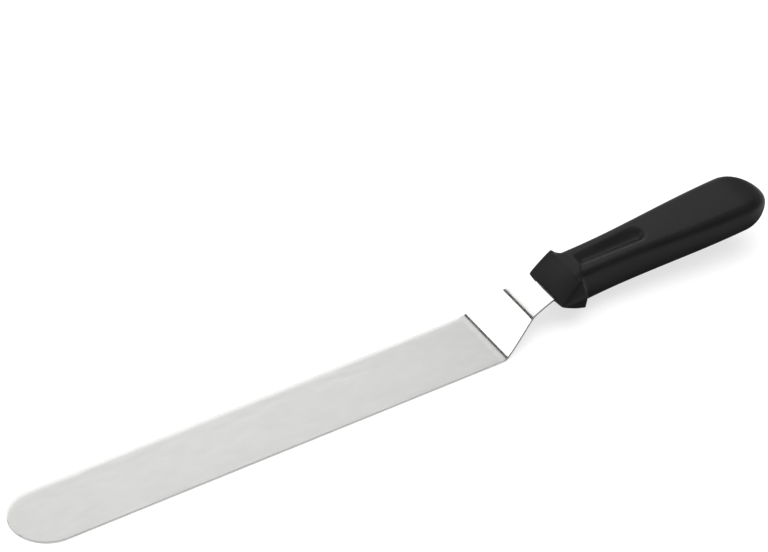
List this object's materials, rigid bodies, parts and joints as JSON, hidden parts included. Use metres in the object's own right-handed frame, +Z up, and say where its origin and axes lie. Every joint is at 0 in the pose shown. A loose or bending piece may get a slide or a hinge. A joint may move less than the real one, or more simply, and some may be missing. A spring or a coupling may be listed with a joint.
{
  "type": "offset spatula",
  "caption": "Long flat round-tipped steel blade, cranked up to a black plastic handle with a faceted bolster and thumb grooves.",
  "frame": {"origin": "under the middle of the overall length, on the plane that the flat blade rests on", "axes": "+X from the blade's tip to the handle's butt, +Y across the blade, +Z up, from the blade towards the raised handle"},
  "size_m": [0.4077, 0.0376, 0.03],
  "materials": {
    "steel": "satin, with a fine lengthwise grain",
    "handle_plastic": "moulded polypropylene, satin with a fine grain"
  },
  "bodies": {
    "root": {"blade": "steel", "handle": "handle_plastic"}
  },
  "joints": []
}
